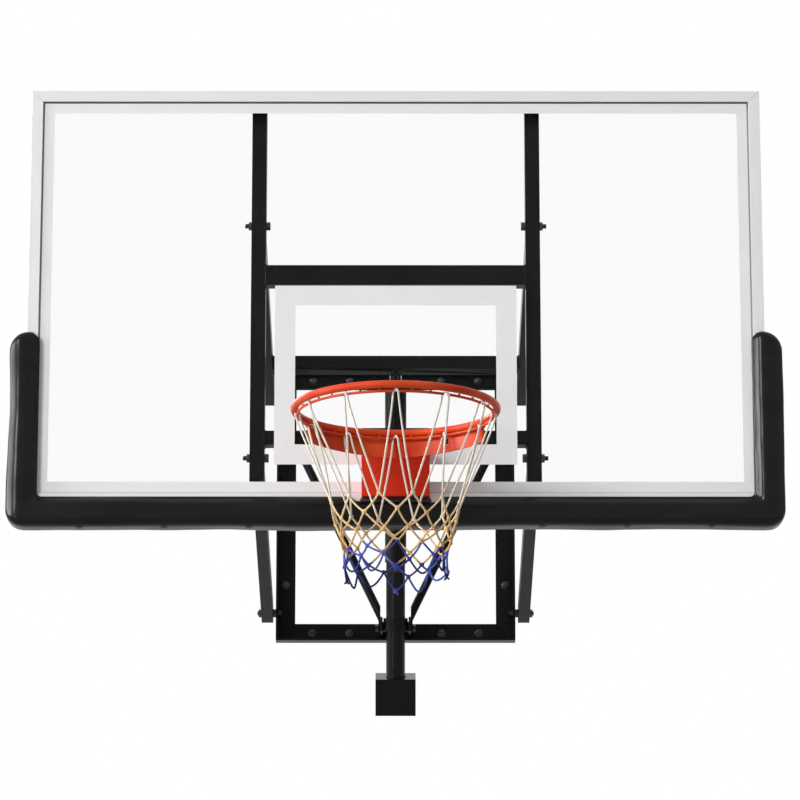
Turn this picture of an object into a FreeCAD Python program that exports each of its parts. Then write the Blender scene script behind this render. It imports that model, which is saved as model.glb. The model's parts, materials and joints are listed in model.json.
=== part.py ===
import FreeCAD
import Part
import math
import os

# A wall-mounted basketball goal: glass board on a parallelogram of four swing arms,
# raised and lowered by a screw jack, with a breakaway ring and a net.
# Millimetres and degrees. +X is to the right seen from the court, +Y runs into the wall,
# +Z is up. The origin is the middle of the wall bolt pattern, on the wall's face.

# Board
board_width = 1800.0
board_height = 1050.0
frame_depth = 40.0
frame_face = 28.0
frame_lip = 4.0
frame_wall = 3.0
glass_thickness = 10.0
glass_grip = 12.0
seal_thickness = 1.0
seal_edge = 4.0
seal_show = 4.0
film_thickness = 0.4
border_line = 25.0
target_width = 590.0
target_height = 450.0
target_line = 50.0
target_rise = 100.0

# Edge pad
pad_front = 25.0
pad_back = 9.0
pad_outside = 41.0
pad_below = 55.0
pad_overlap = 34.0
pad_lip = 19.0
pad_side_rise = 431.0
pad_corner = 40.0
pad_top_inner = 27.0
pad_edge_round = 20.0
pad_notch_width = 210.0
pad_notch_lip = 3.0

# Swing arms
arm_length = 917.0
arm_angle = 13.0
arm_lowering = 36.0
arm_width = 30.0
arm_height = 50.0
arm_wall = 3.0
arm_side_gap = 7.5
pivot_spacing = 590.0
pivot_from_wall = 28.0
pivot_radius = 6.0
pivot_clearance = 0.2
pivot_sleeve_radius = 11.0
bolt_head_size = 19.0
bolt_head_height = 8.0
nut_height = 10.0

# Uprights and cross bars behind the board
upright_wall = 2.5
upright_side_gap = 0.5
upright_depth = 54.0
upright_pivot_inset = 30.0
lower_pivot_rise = 131.0
bar_depth = 40.0
bar_wall = 3.0
upper_bar_height = 50.0
upper_bar_rise = 588.0
lower_bar_height = 35.0
lower_bar_rise = 176.0

# Wall frame of angle iron
wall_frame_width = 630.0
wall_frame_height = 738.0
angle_leg = 50.0
angle_wall = 5.0
angle_corner_cut = 12.0
wall_hole_radius = 5.5
wall_hole_span = 440.0
inner_hole_span = 244.0
leg_hole_span = 430.0

# Braces and jack bracket
brace_radius = 11.0
brace_wall = 2.0
brace_tab = 5.0
brace_tab_radius = 14.0
brace_setback = 34.0
brace_foot_reach = 45.0
brace_bolt_radius = 5.0
ear_thickness = 6.0
ear_radius = 20.0
ear_side_gap = 2.0
trunnion_reach = 97.0
trunnion_rise = 31.0
trunnion_radius = 7.0

# Lift tube and lug on the upper arms
lift_along_arm = 220.0
lift_tube_size = 38.0
lift_tube_wall = 3.0
lift_tube_drop = 22.0
lug_drop = 60.0
lug_thickness = 12.0
lug_margin = 9.0
lug_slot_back = 14.0
lug_slot_front = 2.0
lug_slot_up = 4.0
lug_slot_down = 2.0

# Screw jack, measured along its own axis from the trunnion
clevis_pin_radius = 6.0
clevis_pin_head = 8.0
clevis_pin_head_height = 3.0
clevis_cheek = 6.0
clevis_side_gap = 1.0
clevis_round = 12.5
clevis_height = 34.0
jack_tube_radius = 25.0
jack_tube_wall = 3.0
sleeve_gap = 1.0
sleeve_wall = 2.0
sleeve_cap = 8.0
sleeve_stop_gap = 6.0
collar_wall = 7.0
collar_half_height = 16.0
push_tube_radius = 19.0
push_tube_wall = 6.0
push_tube_length = 200.0
lift_nut_length = 40.0
screw_radius = 10.0
screw_clearance = 0.2
screw_tip = 15.0
box_width = 105.0
box_depth = 80.0
box_height = 95.0
box_wall = 4.0
box_drop = 142.0
box_roof_rise = 12.0
box_cover = 3.0
bearing_radius = 26.0
bearing_height = 16.0
shoulder_radius = 16.0
shoulder_height = 8.0
drive_hole_radius = 14.0
drive_hex_size = 11.0
drive_hex_depth = 14.0

# Ring and its breakaway mount
ring_inner_diameter = 455.0
ring_rod_radius = 9.0
ring_stand_off = 151.0
ring_rise = 150.0
weld_gap = 0.2
net_rod_radius = 3.0
net_rod_inset = 7.5
net_rod_drop = 14.0
net_loops = 12
net_rod_gap = 12.0
net_wire_sides = 8
net_post_size = 5.0
net_post_angle = 8.0
fan_thickness = 4.0
fan_half_angle = 60.0
fan_margin = 3.0
fan_clearance = 2.0
band_offset = 1.5
band_height = 47.0
band_end_rise = 12.5
slit_offset = 122.0
slit_width = 6.0
slit_height = 22.0
back_plate_width = 164.0
back_plate_height = 134.0
back_plate_thickness = 8.0
housing_depth = 77.0
housing_foot = 14.0
housing_wall = 4.0
housing_front_drop = 19.0
housing_top_drop = 26.0
housing_front_notch = 7.0
hinge_inset = 18.5
hinge_drop = 36.0
hinge_pin_radius = 5.0
knuckle_radius = 9.0
knuckle_width = 12.0
knuckle_span = 124.0
spring_radius = 10.0
spring_wire_radius = 2.0
spring_span = 60.0
spring_from_plate = 24.0
anchor_rise = 40.0
anchor_radius = 4.0
ring_bolt_span_x = 127.0
ring_bolt_span_z = 90.0
ring_bolt_rise = 26.0
ring_bolt_radius = 6.0
glass_hole_radius = 9.0
backing_thickness = 8.0
frame_clearance = 1.0
edge_tolerance = 0.01

# Net: depth below its top and radius at each row of knots
net_thickness = 3.0
net_strand = 5.0
net_loop_width = 18.0
net_loop_height = 24.0
net_rows = [(0.0, 229.0), (222.0, 152.0), (262.0, 141.0), (300.0, 131.0),
            (336.0, 123.0), (369.0, 119.0), (400.0, 117.0)]

V = FreeCAD.Vector
origin = V(0, 0, 0)
along_x = V(1, 0, 0)
along_y = V(0, 1, 0)
along_z = V(0, 0, 1)

# Places that follow from the sizes
arm_sine = math.sin(math.radians(arm_angle))
arm_cosine = math.cos(math.radians(arm_angle))
wall_pivot_y = -pivot_from_wall
front_pivot_y = wall_pivot_y - arm_length * arm_cosine
upper_wall_z = pivot_spacing / 2
lower_wall_z = -pivot_spacing / 2
upper_front_z = upper_wall_z + arm_length * arm_sine
lower_front_z = lower_wall_z + arm_length * arm_sine
frame_half = wall_frame_width / 2
arm_x = frame_half + arm_side_gap + arm_width / 2
arm_inside = arm_x - arm_width / 2
arm_outside = arm_x + arm_width / 2
upright_width = arm_width + 2 * (upright_side_gap + upright_wall)
upright_inside = arm_x - upright_width / 2
upright_outside = arm_x + upright_width / 2
board_back = front_pivot_y - upright_pivot_inset
board_front = board_back - frame_depth
board_bottom = lower_front_z - lower_pivot_rise
board_top = board_bottom + board_height
board_half = board_width / 2
groove_front = board_front + frame_lip
glass_front = groove_front + seal_thickness
glass_back = glass_front + glass_thickness
groove_back = glass_back + seal_thickness
glass_inset = frame_face - glass_grip
groove_inset = glass_inset - seal_edge
seal_inset = frame_face + seal_show
rail_z = wall_frame_height / 2 - angle_leg / 2
trunnion_y = -trunnion_reach
trunnion_z = -wall_frame_height / 2 + trunnion_rise


def lift_point(angle):
    """Where the jack's clevis pin sits for an arm angle above level."""
    turn = math.radians(angle)
    y = wall_pivot_y - lift_along_arm * math.cos(turn) - lug_drop * math.sin(turn)
    z = upper_wall_z + lift_along_arm * math.sin(turn) - lug_drop * math.cos(turn)
    return y, z


def jack_length(angle):
    y, z = lift_point(angle)
    return math.hypot(y - trunnion_y, z - trunnion_z)


lift_y, lift_z = lift_point(arm_angle)
jack_tilt = math.degrees(math.atan2(trunnion_y - lift_y, lift_z - trunnion_z))
jack_rest_length = jack_length(arm_angle)
jack_travel = jack_rest_length - jack_length(arm_angle - arm_lowering)

ring_radius = ring_inner_diameter / 2 + ring_rod_radius
ring_y = board_front - ring_stand_off - ring_inner_diameter / 2
ring_top = board_bottom + ring_rise
ring_z = ring_top - ring_rod_radius
fan_top = ring_z - ring_rod_radius - weld_gap
fan_bottom = fan_top - fan_thickness
band_inside = ring_radius + band_offset
back_plate_front = board_front - back_plate_thickness
back_plate_half = back_plate_width / 2
back_plate_bottom = ring_top - back_plate_height
housing_front = back_plate_front - housing_depth
housing_top = ring_top - housing_top_drop
hinge_y = housing_front + hinge_inset
hinge_z = ring_top - hinge_drop


def block(x0, x1, y0, y1, z0, z1):
    return Part.makeBox(x1 - x0, y1 - y0, z1 - z0, V(x0, y0, z0))


def rod(start, end, radius):
    return Part.makeCylinder(radius, (end - start).Length, start, end - start)


def rod_x(x0, x1, y, z, radius):
    return rod(V(x0, y, z), V(x1, y, z), radius)


def tube_z(z0, z1, radius, bore):
    outer = rod(V(0, 0, z0), V(0, 0, z1), radius)
    return outer.cut(rod(V(0, 0, z0), V(0, 0, z1), bore))


def prism_x(outline, x0, x1):
    corners = [V(x0, y, z) for y, z in outline]
    face = Part.Face(Part.makePolygon(corners + corners[:1]))
    return face.extrude(V(x1 - x0, 0, 0))


def prism_y(outline, y0, y1):
    corners = [V(x, y0, z) for x, z in outline]
    face = Part.Face(Part.makePolygon(corners + corners[:1]))
    return face.extrude(V(0, y1 - y0, 0))


def prism_z(outline, z0, z1):
    corners = [V(x, y, z0) for x, y in outline]
    face = Part.Face(Part.makePolygon(corners + corners[:1]))
    return face.extrude(V(0, 0, z1 - z0))


def hexagon(start, direction, size, height):
    corner = size / math.sqrt(3.0)
    points = [V(corner * math.cos(math.radians(60 * k)), corner * math.sin(math.radians(60 * k)), 0)
              for k in range(6)]
    solid = Part.Face(Part.makePolygon(points + points[:1])).extrude(V(0, 0, height))
    solid.Placement = FreeCAD.Placement(start, FreeCAD.Rotation(along_z, direction))
    return solid


def mirrored(shape):
    return shape.mirror(origin, along_x)


def save(name, shape):
    shape.exportStep("parts/" + name + ".step")


def save_pair(name, right_shape):
    save("right_" + name, right_shape)
    save("left_" + name, mirrored(right_shape))


# Wall frame

def drill_wall(shape, x, z):
    return shape.cut(rod(V(x, -angle_leg, z), V(x, angle_wall, z), wall_hole_radius))


def wall_leg():
    half_height = wall_frame_height / 2
    back = block(frame_half - angle_leg, frame_half, -angle_wall, 0, -half_height, half_height)
    cut = angle_corner_cut
    flange_outline = [(0, -half_height), (-angle_leg + cut, -half_height), (-angle_leg, -half_height + cut),
                      (-angle_leg, half_height - cut), (-angle_leg + cut, half_height), (0, half_height)]
    leg = back.fuse(prism_x(flange_outline, frame_half - angle_wall, frame_half))
    for z in (-leg_hole_span / 2, leg_hole_span / 2):
        leg = drill_wall(leg, frame_half - angle_leg / 2, z)
    for z in (lower_wall_z, upper_wall_z):
        leg = leg.cut(rod_x(frame_half - angle_leg, frame_half + angle_wall, wall_pivot_y, z,
                            pivot_radius + pivot_clearance))
    return leg.removeSplitter()


def wall_rail():
    edge = wall_frame_height / 2
    inner = frame_half - angle_leg
    rail = block(-inner, inner, -angle_wall, 0, edge - angle_leg, edge)
    reach = frame_half - angle_wall
    flange = block(-reach, reach, -angle_leg + angle_corner_cut, -angle_wall, edge - angle_wall, edge)
    rail = rail.fuse(flange)
    for span in (wall_hole_span, inner_hole_span):
        for x in (-span / 2, span / 2):
            rail = drill_wall(rail, x, rail_z)
    return rail.removeSplitter()


# Jack bracket and braces

collar_radius = jack_tube_radius + collar_wall
ear_inside = collar_radius + ear_side_gap
ear_outside = ear_inside + ear_thickness


def jack_bracket():
    back = block(-ear_outside, ear_outside, -angle_wall - ear_thickness, -angle_wall,
                 trunnion_z - ear_radius, trunnion_z + ear_radius)
    bracket = back
    for side in (-1, 1):
        x0, x1 = sorted((side * ear_inside, side * ear_outside))
        ear = block(x0, x1, trunnion_y, -angle_wall, trunnion_z - ear_radius, trunnion_z + ear_radius)
        ear = ear.fuse(rod_x(x0, x1, trunnion_y, trunnion_z, ear_radius))
        bracket = bracket.fuse(ear)
    for y, radius in ((trunnion_y, trunnion_radius), (-brace_foot_reach, brace_bolt_radius)):
        bracket = bracket.cut(rod_x(-ear_outside, ear_outside, y, trunnion_z, radius + pivot_clearance))
    return bracket.removeSplitter()


def brace():
    head = V(frame_half - angle_wall, wall_pivot_y, upper_wall_z)
    foot = V(ear_outside, -brace_foot_reach, trunnion_z)
    run = V(0, foot.y - head.y, foot.z - head.z).normalize()
    tube_head = head + run * brace_setback
    tube_foot = foot - run * brace_setback
    slope = (tube_foot - tube_head).normalize() * brace_setback
    tube = rod(tube_head - slope, tube_foot + slope, brace_radius)
    tube = tube.cut(rod(tube_head - slope, tube_foot + slope, brace_radius - brace_wall))
    reach = wall_frame_height
    tube = tube.common(block(foot.x, head.x, -reach, reach, -reach, reach))
    for end, tip, x0 in ((head, tube_head, head.x - brace_tab), (foot, tube_foot, foot.x)):
        x1 = x0 + brace_tab
        tab = rod_x(x0, x1, end.y, end.z, brace_tab_radius)
        tab = tab.fuse(rod_x(x0, x1, tip.y, tip.z, brace_tab_radius))
        side = V(0, run.z, -run.y) * brace_tab_radius
        strip = [(p.y, p.z) for p in (end + side, tip + side, tip - side, end - side)]
        tube = tube.fuse(tab.fuse(prism_x(strip, x0, x1)))
    tube = tube.cut(rod_x(head.x - brace_tab, head.x, head.y, head.z, pivot_radius + pivot_clearance))
    tube = tube.cut(rod_x(foot.x, foot.x + brace_tab, foot.y, foot.z, brace_bolt_radius + pivot_clearance))
    return tube.removeSplitter()


def cross_bolt(nut_face, head_face, y, z, radius, head_size):
    """A bolt along X with its nut inside nut_face and its head outside head_face."""
    bolt = rod_x(nut_face - nut_height, head_face, y, z, radius)
    bolt = bolt.fuse(hexagon(V(nut_face - nut_height, y, z), along_x, head_size, nut_height))
    return bolt.fuse(hexagon(V(head_face, y, z), along_x, head_size, bolt_head_height)).removeSplitter()


def both_sides(shapes):
    return Part.makeCompound(shapes + [mirrored(shape) for shape in shapes])


def wall_pivot_bolts():
    bolts = []
    for z, nut_face in ((upper_wall_z, frame_half - angle_wall - brace_tab),
                        (lower_wall_z, frame_half - angle_wall)):
        bolt = cross_bolt(nut_face, arm_outside + pivot_clearance, wall_pivot_y, z,
                          pivot_radius, bolt_head_size)
        washer = rod_x(frame_half, arm_inside - pivot_clearance, wall_pivot_y, z, pivot_sleeve_radius)
        bolts.append(bolt.fuse(washer).removeSplitter())
    return both_sides(bolts)


def brace_bolts():
    bolt = cross_bolt(ear_inside, ear_outside + brace_tab, -brace_foot_reach, trunnion_z,
                      brace_bolt_radius, bolt_head_size - 2 * pivot_clearance)
    return both_sides([bolt])


# Swing arms, drawn level with the wall pivot at the origin, then raised to the rest angle

def at_arm(shape, pivot_z):
    shape = shape.copy()
    shape.rotate(origin, along_x, -arm_angle)
    shape.translate(V(0, wall_pivot_y, pivot_z))
    return shape


def level_arm():
    half = arm_height / 2
    arm = block(arm_inside, arm_outside, -arm_length, 0, -half, half)
    for y in (0, -arm_length):
        arm = arm.fuse(rod_x(arm_inside, arm_outside, y, 0, half))
    hollow = half - arm_wall
    arm = arm.cut(block(arm_inside + arm_wall, arm_outside - arm_wall, -arm_length - half, half,
                        -hollow, hollow))
    for y in (0, -arm_length):
        arm = arm.fuse(rod_x(arm_inside, arm_outside, y, 0, pivot_sleeve_radius))
    for y in (0, -arm_length):
        arm = arm.cut(rod_x(arm_inside, arm_outside, y, 0, pivot_radius + pivot_clearance))
    return arm.removeSplitter()


def lift_tube():
    half = lift_tube_size / 2
    hollow = half - lift_tube_wall
    middle = -lift_along_arm
    tube = block(-arm_inside, arm_inside, middle - half, middle + half,
                 -lift_tube_drop - half, -lift_tube_drop + half)
    tube = tube.cut(block(-arm_inside, arm_inside, middle - hollow, middle + hollow,
                          -lift_tube_drop - hollow, -lift_tube_drop + hollow))
    pin = clevis_pin_radius
    slot_back = middle + lug_slot_back + pin
    slot_front = middle - lug_slot_front - pin
    slot_top = -lug_drop + lug_slot_up + pin
    slot_bottom = -lug_drop - lug_slot_down - pin
    side = lug_thickness / 2
    lug = block(-side, side, slot_front - lug_margin, slot_back + lug_margin,
                slot_bottom - lug_margin, -lift_tube_drop - half)
    low_edges = [edge for edge in lug.Edges
                 if abs(edge.CenterOfMass.z - lug.BoundBox.ZMin) < edge_tolerance
                 and abs(edge.CenterOfMass.x) < edge_tolerance]
    lug = lug.makeFillet(lug_margin, low_edges)
    slot = block(-side, side, slot_front, slot_back, slot_bottom, slot_top)
    slot_edges = [edge for edge in slot.Edges if abs(edge.CenterOfMass.x) < edge_tolerance]
    slot = slot.makeFillet(pin / 2, slot_edges)
    return tube.fuse(lug.cut(slot)).removeSplitter()


# Uprights, bars and board

def upright():
    rear = board_back + upright_depth
    channel = block(upright_inside, upright_outside, board_back, rear, board_bottom, board_top)
    channel = channel.cut(block(upright_inside + upright_wall, upright_outside - upright_wall,
                                board_back + upright_wall, rear, board_bottom, board_top))
    for z in (lower_front_z, upper_front_z):
        channel = channel.cut(rod_x(upright_inside, upright_outside, front_pivot_y, z,
                                    pivot_radius + pivot_clearance))
    return channel.removeSplitter()


def cross_bar(rise, height):
    z0 = board_bottom + rise - height / 2
    z1 = z0 + height
    bar = block(-upright_inside, upright_inside, board_back, board_back + bar_depth, z0, z1)
    return bar.cut(block(-upright_inside, upright_inside, board_back + bar_wall,
                         board_back + bar_depth - bar_wall, z0 + bar_wall, z1 - bar_wall))


def board_pivot_bolts():
    bolts = []
    for z in (lower_front_z, upper_front_z):
        bolt = cross_bolt(upright_inside, upright_outside, front_pivot_y, z, pivot_radius, bolt_head_size)
        bolts.append(bolt)
    return both_sides(bolts)


def frame_member(length):
    """One side of the frame lying along X, its outer edge at Z 0 and its face towards -Y."""
    bar = block(-length / 2, length / 2, board_front, board_back, 0, frame_face)
    bar = bar.cut(block(-length / 2, length / 2, groove_front, groove_back, groove_inset, frame_face))
    chamber = block(-length / 2, length / 2, groove_back + frame_wall, board_back - frame_wall,
                    frame_wall, frame_face - frame_wall)
    bar = bar.cut(chamber)
    half = length / 2
    mitre = [(-half, 0), (half, 0), (half - frame_face, frame_face), (-half + frame_face, frame_face)]
    return bar.common(prism_y(mitre, board_front, board_back))


def frame_side(length, turn, x, z):
    side = frame_member(length)
    side.rotate(origin, along_y, turn)
    side.translate(V(x, 0, z))
    return side


def picture_frame(inset, line, y0, y1):
    """A flat rectangular band that starts inset from the board's edge."""
    outer = block(-board_half + inset, board_half - inset, y0, y1, board_bottom + inset, board_top - inset)
    inner = inset + line
    return outer.cut(block(-board_half + inner, board_half - inner, y0, y1,
                           board_bottom + inner, board_top - inner))


def glass_pane():
    pane = block(-board_half + glass_inset, board_half - glass_inset, glass_front, glass_back,
                 board_bottom + glass_inset, board_top - glass_inset)
    for x, z in ring_bolt_places():
        pane = pane.cut(rod(V(x, glass_front, z), V(x, glass_back, z), glass_hole_radius))
    return pane


def glass_seal():
    pane = block(-board_half + glass_inset, board_half - glass_inset, glass_front, glass_back,
                 board_bottom + glass_inset, board_top - glass_inset)
    return picture_frame(groove_inset, seal_inset - groove_inset, groove_front, groove_back).cut(pane)


def target_stripe():
    z0 = board_bottom + target_rise
    half = target_width / 2
    y0 = glass_front - film_thickness
    outer = block(-half, half, y0, glass_front, z0, z0 + target_height)
    stripe = outer.cut(block(-half + target_line, half - target_line, y0, glass_front,
                             z0 + target_line, z0 + target_height - target_line))
    return drill_ring_bolts(stripe, y0, glass_front)


def border_stripe():
    y0 = glass_front - film_thickness
    return drill_ring_bolts(picture_frame(seal_inset, border_line, y0, glass_front), y0, glass_front)


def pad_outline(y):
    """The U that the pad makes round the board's lower edge and sides, in the plane at y."""
    outside = board_half + pad_outside
    inside = board_half - pad_overlap
    low = board_bottom - pad_below
    lip = board_bottom + pad_lip
    top = board_bottom + pad_side_rise
    inner = pad_top_inner
    outer = outside - inside - inner
    corner = pad_corner

    def line(x0, z0, x1, z1):
        return Part.LineSegment(V(x0, y, z0), V(x1, y, z1)).toShape()

    def quarter(x, z, radius, first):
        turns = [math.radians(first + step) for step in (0, 45, 90)]
        return Part.Arc(*[V(x + radius * math.cos(a), y, z + radius * math.sin(a)) for a in turns]).toShape()

    right = [line(0, low, outside - corner, low),
             quarter(outside - corner, low + corner, corner, 270),
             line(outside, low + corner, outside, top - outer),
             quarter(outside - outer, top - outer, outer, 0),
             quarter(inside + inner, top - inner, inner, 90),
             line(inside, top - inner, inside, lip),
             line(inside, lip, 0, lip)]
    left = [edge.mirror(origin, along_x) for edge in right]
    return Part.Wire(Part.__sortEdges__(right + left))


def edge_pad():
    front = board_front - pad_front
    back = board_back + pad_back
    pad = Part.Face(pad_outline(front)).extrude(V(0, back - front, 0))
    front_edges = [edge for edge in pad.Edges if edge.BoundBox.YMax < front + edge_tolerance]
    pad = pad.makeFillet(pad_edge_round, front_edges)
    pad = pad.cut(block(-board_half, board_half, board_front, board_back, board_bottom, board_top))
    room = upright_width / 2 + frame_clearance
    for x in (-arm_x, arm_x):
        pad = pad.cut(block(x - room, x + room, board_back, back, board_bottom, board_top))
    notch = pad_notch_width / 2
    return pad.cut(block(-notch, notch, front, board_front, board_bottom + pad_notch_lip, board_top))


# Ring mount on the board

def ring_bolt_places():
    low = back_plate_bottom + ring_bolt_rise
    half = ring_bolt_span_x / 2
    return [(x, z) for z in (low, low + ring_bolt_span_z) for x in (-half, half)]


def drill_ring_bolts(shape, y0, y1):
    for x, z in ring_bolt_places():
        shape = shape.cut(rod(V(x, y0, z), V(x, y1, z), ring_bolt_radius + pivot_clearance))
    return shape


def ring_back_plate():
    plate = block(-back_plate_half, back_plate_half, back_plate_front, board_front,
                  back_plate_bottom, ring_top)
    return drill_ring_bolts(plate, back_plate_front, board_front)


def ring_cushion():
    low = board_bottom + seal_inset + frame_clearance
    film_front = glass_front - film_thickness
    cushion = block(-back_plate_half, back_plate_half, board_front, film_front, low, ring_top)
    return drill_ring_bolts(cushion, board_front, film_front)


def ring_backing_plate():
    low = board_bottom + seal_inset + frame_clearance
    bar_low = board_bottom + lower_bar_rise - lower_bar_height / 2
    bar_high = bar_low + lower_bar_height
    plate = block(-back_plate_half, back_plate_half, glass_back, glass_back + backing_thickness,
                  low, bar_high)
    pad = block(-back_plate_half, back_plate_half, glass_back, board_back, bar_low, bar_high)
    return drill_ring_bolts(plate.fuse(pad), glass_back, glass_back + backing_thickness).removeSplitter()


def ring_bolts():
    bolts = []
    back = glass_back + backing_thickness
    for x, z in ring_bolt_places():
        bolt = rod(V(x, back_plate_front, z), V(x, back, z), ring_bolt_radius)
        bolt = bolt.fuse(hexagon(V(x, back_plate_front, z), V(0, -1, 0), bolt_head_size, bolt_head_height))
        bolt = bolt.fuse(hexagon(V(x, back, z), along_y, bolt_head_size, nut_height))
        bolts.append(bolt.removeSplitter())
    return Part.makeCompound(bolts)


def housing_outline(inset):
    foot = back_plate_front - housing_foot + inset
    front = housing_front + inset
    slope_top = housing_top - housing_front_drop - housing_front_notch
    low = back_plate_bottom + inset
    return [(back_plate_front, low), (foot, low), (front, slope_top),
            (front, housing_top - housing_front_notch), (hinge_y - knuckle_radius / 2, housing_top),
            (back_plate_front, housing_top)]


def ring_housing():
    shell = prism_x(housing_outline(0), -back_plate_half, back_plate_half)
    inner_half = back_plate_half - housing_wall
    hollow = housing_outline(housing_wall)
    hollow[3] = (hollow[3][0], housing_top + housing_wall)
    hollow[4] = (hollow[4][0], housing_top + housing_wall)
    hollow[5] = (hollow[5][0], housing_top + housing_wall)
    shell = shell.cut(prism_x(hollow, -inner_half, inner_half))
    for y, z, radius in ((hinge_y, hinge_z, hinge_pin_radius), (anchor_y, anchor_z, anchor_radius)):
        shell = shell.cut(rod_x(-back_plate_half, back_plate_half, y, z, radius))
    return shell.removeSplitter()


anchor_y = back_plate_front - spring_from_plate
anchor_z = back_plate_bottom + anchor_rise


def spring_anchor():
    return rod_x(-back_plate_half, back_plate_half, anchor_y, anchor_z, anchor_radius)


def ring_hinge_pin():
    proud = housing_wall
    return rod_x(-back_plate_half - proud, back_plate_half + proud, hinge_y, hinge_z, hinge_pin_radius)


def return_springs():
    low = anchor_z + anchor_radius + weld_gap
    high = fan_bottom - weld_gap
    springs = []
    for x in (-spring_span / 2, spring_span / 2):
        coil = tube_z(low, high, spring_radius + spring_wire_radius, spring_radius - spring_wire_radius)
        coil.translate(V(x, anchor_y, 0))
        springs.append(coil)
    return Part.makeCompound(springs)


# Ring, its support and the net

def ring():
    return Part.makeTorus(ring_radius, ring_rod_radius, V(0, ring_y, ring_z), along_z)


def ring_support():
    end_x = (band_inside + fan_thickness) * math.sin(math.radians(fan_half_angle))
    end_y = ring_y + (band_inside + fan_thickness) * math.cos(math.radians(fan_half_angle))
    neck = back_plate_half - housing_wall - fan_clearance
    rear = back_plate_front - bolt_head_height - fan_clearance
    outline = [(-end_x - fan_margin, end_y), (-back_plate_half, housing_front - fan_margin), (-neck, rear),
               (neck, rear), (back_plate_half, housing_front - fan_margin), (end_x + fan_margin, end_y)]
    fan = prism_z(outline, fan_bottom, fan_top)
    centre = V(0, ring_y, fan_bottom - band_height)
    fan = fan.cut(rod(centre, V(0, ring_y, fan_top), band_inside))
    band = rod(centre, V(0, ring_y, fan_bottom), band_inside + fan_thickness)
    band = band.cut(rod(centre, V(0, ring_y, fan_bottom), band_inside))
    low = fan_bottom - band_height
    house = [(-end_x, low + band_end_rise), (0, low), (end_x, low + band_end_rise),
             (end_x, fan_bottom), (-end_x, fan_bottom)]
    band = band.common(prism_y(house, end_y, ring_y + ring_radius * 2))
    for x in (-slit_offset, slit_offset):
        band = band.cut(block(x - slit_width / 2, x + slit_width / 2, ring_y, ring_y + ring_radius * 2,
                              fan_bottom - slit_height, fan_bottom))
    support = fan.fuse(band)
    for side in (-1, 1):
        middle = side * knuckle_span / 2
        x0 = middle - knuckle_width / 2
        x1 = middle + knuckle_width / 2
        knuckle = rod_x(x0, x1, hinge_y, hinge_z, knuckle_radius)
        knuckle = knuckle.fuse(block(x0, x1, hinge_y - knuckle_radius, hinge_y + knuckle_radius,
                                     hinge_z, fan_bottom))
        support = support.fuse(knuckle)
    return support.cut(rod_x(-back_plate_half, back_plate_half, hinge_y, hinge_z,
                             hinge_pin_radius + pivot_clearance)).removeSplitter()


net_rod_circle = ring_radius - net_rod_inset
net_rod_z = ring_z - net_rod_drop
loop_angle = 360.0 / net_loops


def bent_wire(angle):
    """A length of the net wire bent round the ring's axis, drawn with flats to keep its facets few."""
    flat = math.pi / net_wire_sides
    corner = net_rod_radius / math.cos(flat)
    turns = [flat * (2 * k + 1) for k in range(net_wire_sides)]
    points = [V(net_rod_circle + corner * math.cos(a), 0, corner * math.sin(a)) for a in turns]
    wire = Part.Face(Part.makePolygon(points + points[:1])).revolve(origin, along_z, angle)
    wire.translate(V(0, ring_y, net_rod_z))
    return wire


def net_rods():
    gap_angle = math.degrees(net_rod_gap / net_rod_circle)
    arc_angle = loop_angle - gap_angle
    post_corner = net_post_size / math.sqrt(3.0)
    ring_under = math.sqrt(ring_rod_radius ** 2 - (net_rod_inset - post_corner) ** 2)
    post_top = ring_z - ring_under - weld_gap
    arcs = []
    for k in range(net_loops):
        arc = bent_wire(arc_angle)
        for angle in (net_post_angle, arc_angle - net_post_angle):
            x = net_rod_circle * math.cos(math.radians(angle))
            y = ring_y + net_rod_circle * math.sin(math.radians(angle))
            arc = arc.fuse(hexagon(V(x, y, net_rod_z), along_z, net_post_size, post_top - net_rod_z))
        arc.rotate(V(0, ring_y, 0), along_z, -90 + gap_angle / 2 + k * loop_angle)
        arcs.append(arc)
    return Part.makeCompound(arcs)


def net_ring_wire(radius, z):
    sides = 2 * net_loops
    points = [V(radius * math.cos(2 * math.pi * k / sides), radius * math.sin(2 * math.pi * k / sides), z)
              for k in range(sides)]
    return Part.makePolygon(points + points[:1])


def net_hole(outline, angle):
    """A hole through the net's wall, outlined as (sideways, height) and facing outwards at angle."""
    corners = [V(0, u, z) for u, z in outline]
    face = Part.Face(Part.makePolygon(corners + corners[:1]))
    hole = face.extrude(V(net_rows[0][1] * 2, 0, 0))
    hole.rotate(origin, along_z, angle)
    return hole


def diamond(top, middle, bottom):
    """The gap between four strands, narrowed by half a strand on every side."""
    half = middle[1] * math.sin(math.radians(loop_angle / 2))
    rise = middle[0] - top[0]
    fall = bottom[0] - middle[0]
    keep_up = 1 - net_strand / 2 * math.hypot(1 / half, 1 / rise)
    keep_down = 1 - net_strand / 2 * math.hypot(1 / half, 1 / fall)
    side = half * min(keep_up, keep_down)
    return [(0, -middle[0] + rise * keep_up), (-side, -middle[0]),
            (0, -middle[0] - fall * keep_down), (side, -middle[0])]


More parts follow.
